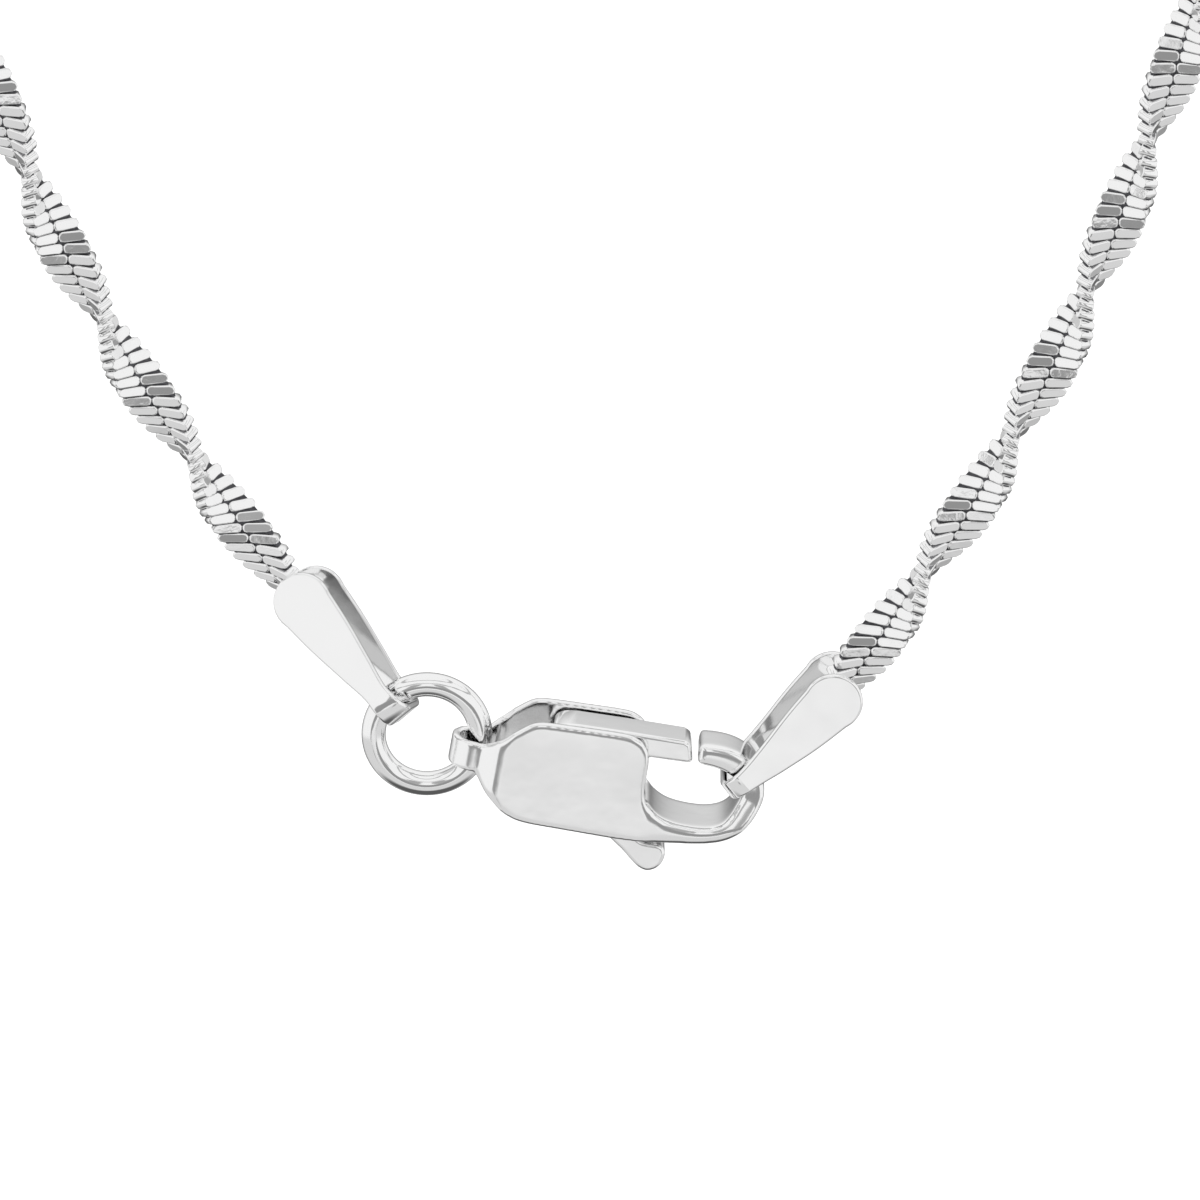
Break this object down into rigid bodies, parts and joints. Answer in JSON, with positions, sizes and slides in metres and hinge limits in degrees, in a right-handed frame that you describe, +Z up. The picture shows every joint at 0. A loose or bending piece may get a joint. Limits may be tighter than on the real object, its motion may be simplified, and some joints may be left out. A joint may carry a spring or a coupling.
{
  "type": "twisted ribbon necklace",
  "caption": "Fine silver necklace of a flat ribbon of small bars twisted along its length, closed by folded end tabs, a jump ring and a lobster clasp with a hinged lever, hanging in its loop.",
  "frame": {"origin": "under the top of the hanging loop, in the middle of the ribbon, where the neck or a hook carries it", "axes": "+X to the viewer's right, +Y away from the viewer, +Z up; the loop hangs in the XZ plane with the clasp at the bottom"},
  "size_m": [0.0839, 0.0042, 0.1969],
  "materials": {
    "chain": "polished sterling silver",
    "fittings": "polished sterling silver"
  },
  "bodies": {
    "necklace": {"chain_left": "chain", "chain_right": "chain", "end_tab_left": "fittings", "end_tab_right": "fittings", "jump_ring": "fittings", "clasp_body": "fittings", "lever_pin": "fittings"},
    "lever": {"clasp_lever": "fittings"}
  },
  "joints": [
    {"name": "lever_hinge", "type": "hinge", "parent": "necklace", "child": "lever", "pos_m": [0.00013, 0, -0.19115], "axis": [0, 1, 0], "range_deg": [0, 20], "stiffness_Nm_per_rad": 0.0002, "springref_deg": -17.19}
  ]
}
